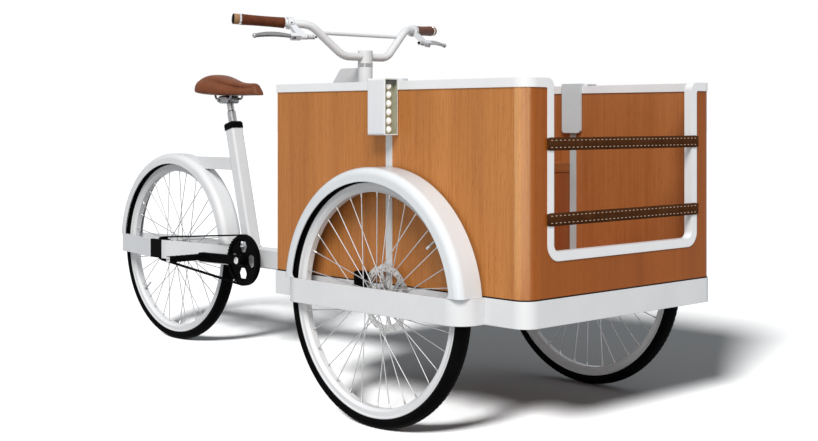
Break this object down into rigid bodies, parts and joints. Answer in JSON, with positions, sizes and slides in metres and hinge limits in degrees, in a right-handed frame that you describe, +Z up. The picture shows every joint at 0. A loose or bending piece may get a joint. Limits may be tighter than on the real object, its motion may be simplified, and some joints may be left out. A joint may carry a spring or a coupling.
{
  "type": "cargo tricycle",
  "caption": "Front-loading cargo tricycle with an open plywood box between its front wheels, a steering column behind the box and a belt-driven rear wheel.",
  "frame": {"origin": "on the floor, under the middle of the overall length and width", "axes": "+X forward, from the rear wheel to the box; +Y to the rider's left; +Z up"},
  "size_m": [2.1816, 0.858, 1.0162],
  "materials": {
    "frame_paint": "satin white paint",
    "lever_white": "white painted casting",
    "lever_blade": "polished",
    "rim_paint": "white painted",
    "tyre": "black rubber",
    "bright_steel": "bright plated",
    "rotor_steel": "brushed",
    "plywood": "clear-coated warm brown veneer",
    "strap_leather": "dark brown with a stitched edge",
    "saddle_leather": "smooth brown",
    "grip_leather": "smooth dark brown",
    "lamp_shell": "satin",
    "lamp_bezel": "satin grey",
    "lamp_lens": "clear dome",
    "black_metal": "black anodised",
    "belt_rubber": "black",
    "pedal_black": "black moulded"
  },
  "bodies": {
    "rear_frame": {"main_beam": "frame_paint", "head_tube": "frame_paint", "head_gusset": "frame_paint", "seat_tube": "frame_paint", "bottom_bracket_shell": "frame_paint", "stay_bars": "frame_paint", "axle_block": "black_metal", "upper_stay": "frame_paint", "rear_fender": "frame_paint", "rear_axle": "bright_steel", "seat_collar": "black_metal", "headset_bearings": "bright_steel", "drive_belt": "belt_rubber"},
    "front_module": {"sill_frame": "frame_paint", "wheel_loops": "frame_paint", "front_fenders": "frame_paint", "front_axles": "bright_steel", "box_shell": "plywood", "box_back": "plywood", "floor_panels": "plywood", "bench_seat": "plywood", "bench_front": "plywood", "rim_trim": "frame_paint", "entry_straps": "strap_leather", "lamp_housings": "lamp_shell", "lamp_bezels": "lamp_bezel", "lamp_leds": "lamp_lens", "lamp_posts": "lamp_shell", "brake_calipers": "black_metal", "steerer": "frame_paint", "stem": "frame_paint", "handlebar": "frame_paint", "grips": "grip_leather", "lever_clamps": "lever_white"},
    "right_front_wheel": {"right_tyre": "tyre", "right_rim": "rim_paint", "right_spokes": "bright_steel", "right_hub": "bright_steel", "right_rotor": "rotor_steel"},
    "left_front_wheel": {"left_tyre": "tyre", "left_rim": "rim_paint", "left_spokes": "bright_steel", "left_hub": "bright_steel", "left_rotor": "rotor_steel"},
    "rear_wheel": {"rear_tyre": "tyre", "rear_rim": "rim_paint", "rear_spokes": "bright_steel", "rear_hub": "bright_steel"},
    "crank": {"crank_spindle": "bright_steel", "right_crank": "black_metal", "left_crank": "black_metal", "chainring": "black_metal"},
    "sprocket": {"rear_sprocket": "black_metal"},
    "right_pedal_body": {"right_pedal": "pedal_black"},
    "left_pedal_body": {"left_pedal": "pedal_black"},
    "right_lever": {"right_brake_lever": "lever_blade"},
    "left_lever": {"left_brake_lever": "lever_blade"},
    "seat": {"seatpost": "bright_steel", "saddle_clamp": "bright_steel", "saddle": "saddle_leather"}
  },
  "joints": [
    {"name": "steer", "type": "hinge", "parent": "rear_frame", "child": "front_module", "pos_m": [0.16615, 0, 0.6], "axis": [0, 0, 1], "range_deg": [-35, 35]},
    {"name": "right_front_spin", "type": "hinge", "parent": "front_module", "child": "right_front_wheel", "pos_m": [0.65015, -0.393, 0.303], "axis": [0, 1, 0], "continuous": true},
    {"name": "left_front_spin", "type": "hinge", "parent": "front_module", "child": "left_front_wheel", "pos_m": [0.65015, 0.393, 0.303], "axis": [0, 1, 0], "continuous": true},
    {"name": "rear_spin", "type": "hinge", "parent": "rear_frame", "child": "rear_wheel", "pos_m": [-0.77185, 0, 0.303], "axis": [0, 1, 0], "continuous": true},
    {"name": "crank_spin", "type": "hinge", "parent": "rear_frame", "child": "crank", "pos_m": [-0.33385, 0, 0.298], "axis": [0, 1, 0], "continuous": true},
    {"name": "sprocket_spin", "type": "hinge", "parent": "rear_frame", "child": "sprocket", "pos_m": [-0.77185, -0.057, 0.303], "axis": [0, 1, 0], "continuous": true},
    {"name": "right_pedal_spin", "type": "hinge", "parent": "crank", "child": "right_pedal_body", "pos_m": [-0.50385, -0.1625, 0.298], "axis": [0, 1, 0], "continuous": true},
    {"name": "left_pedal_spin", "type": "hinge", "parent": "crank", "child": "left_pedal_body", "pos_m": [-0.16385, 0.1625, 0.298], "axis": [0, 1, 0], "continuous": true},
    {"name": "right_brake_pull", "type": "hinge", "parent": "front_module", "child": "right_lever", "pos_m": [0.16015, -0.256, 0.9535], "axis": [-0.5918, 0.2102, -0.7782], "range_deg": [0, 22], "stiffness_Nm_per_rad": 1.2, "springref_deg": -5.73},
    {"name": "left_brake_pull", "type": "hinge", "parent": "front_module", "child": "left_lever", "pos_m": [0.16015, 0.256, 0.9535], "axis": [0.5918, 0.2102, 0.7782], "range_deg": [0, 22], "stiffness_Nm_per_rad": 1.2, "springref_deg": -5.73},
    {"name": "seat_height", "type": "slide", "parent": "rear_frame", "child": "seat", "axis": [-0.2521, 0, 0.9677], "range_m": [-0.03, 0.08]}
  ],
  "couplings": [
    {"joint": "sprocket_spin", "follows": "crank_spin", "ratio": 2}
  ]
}
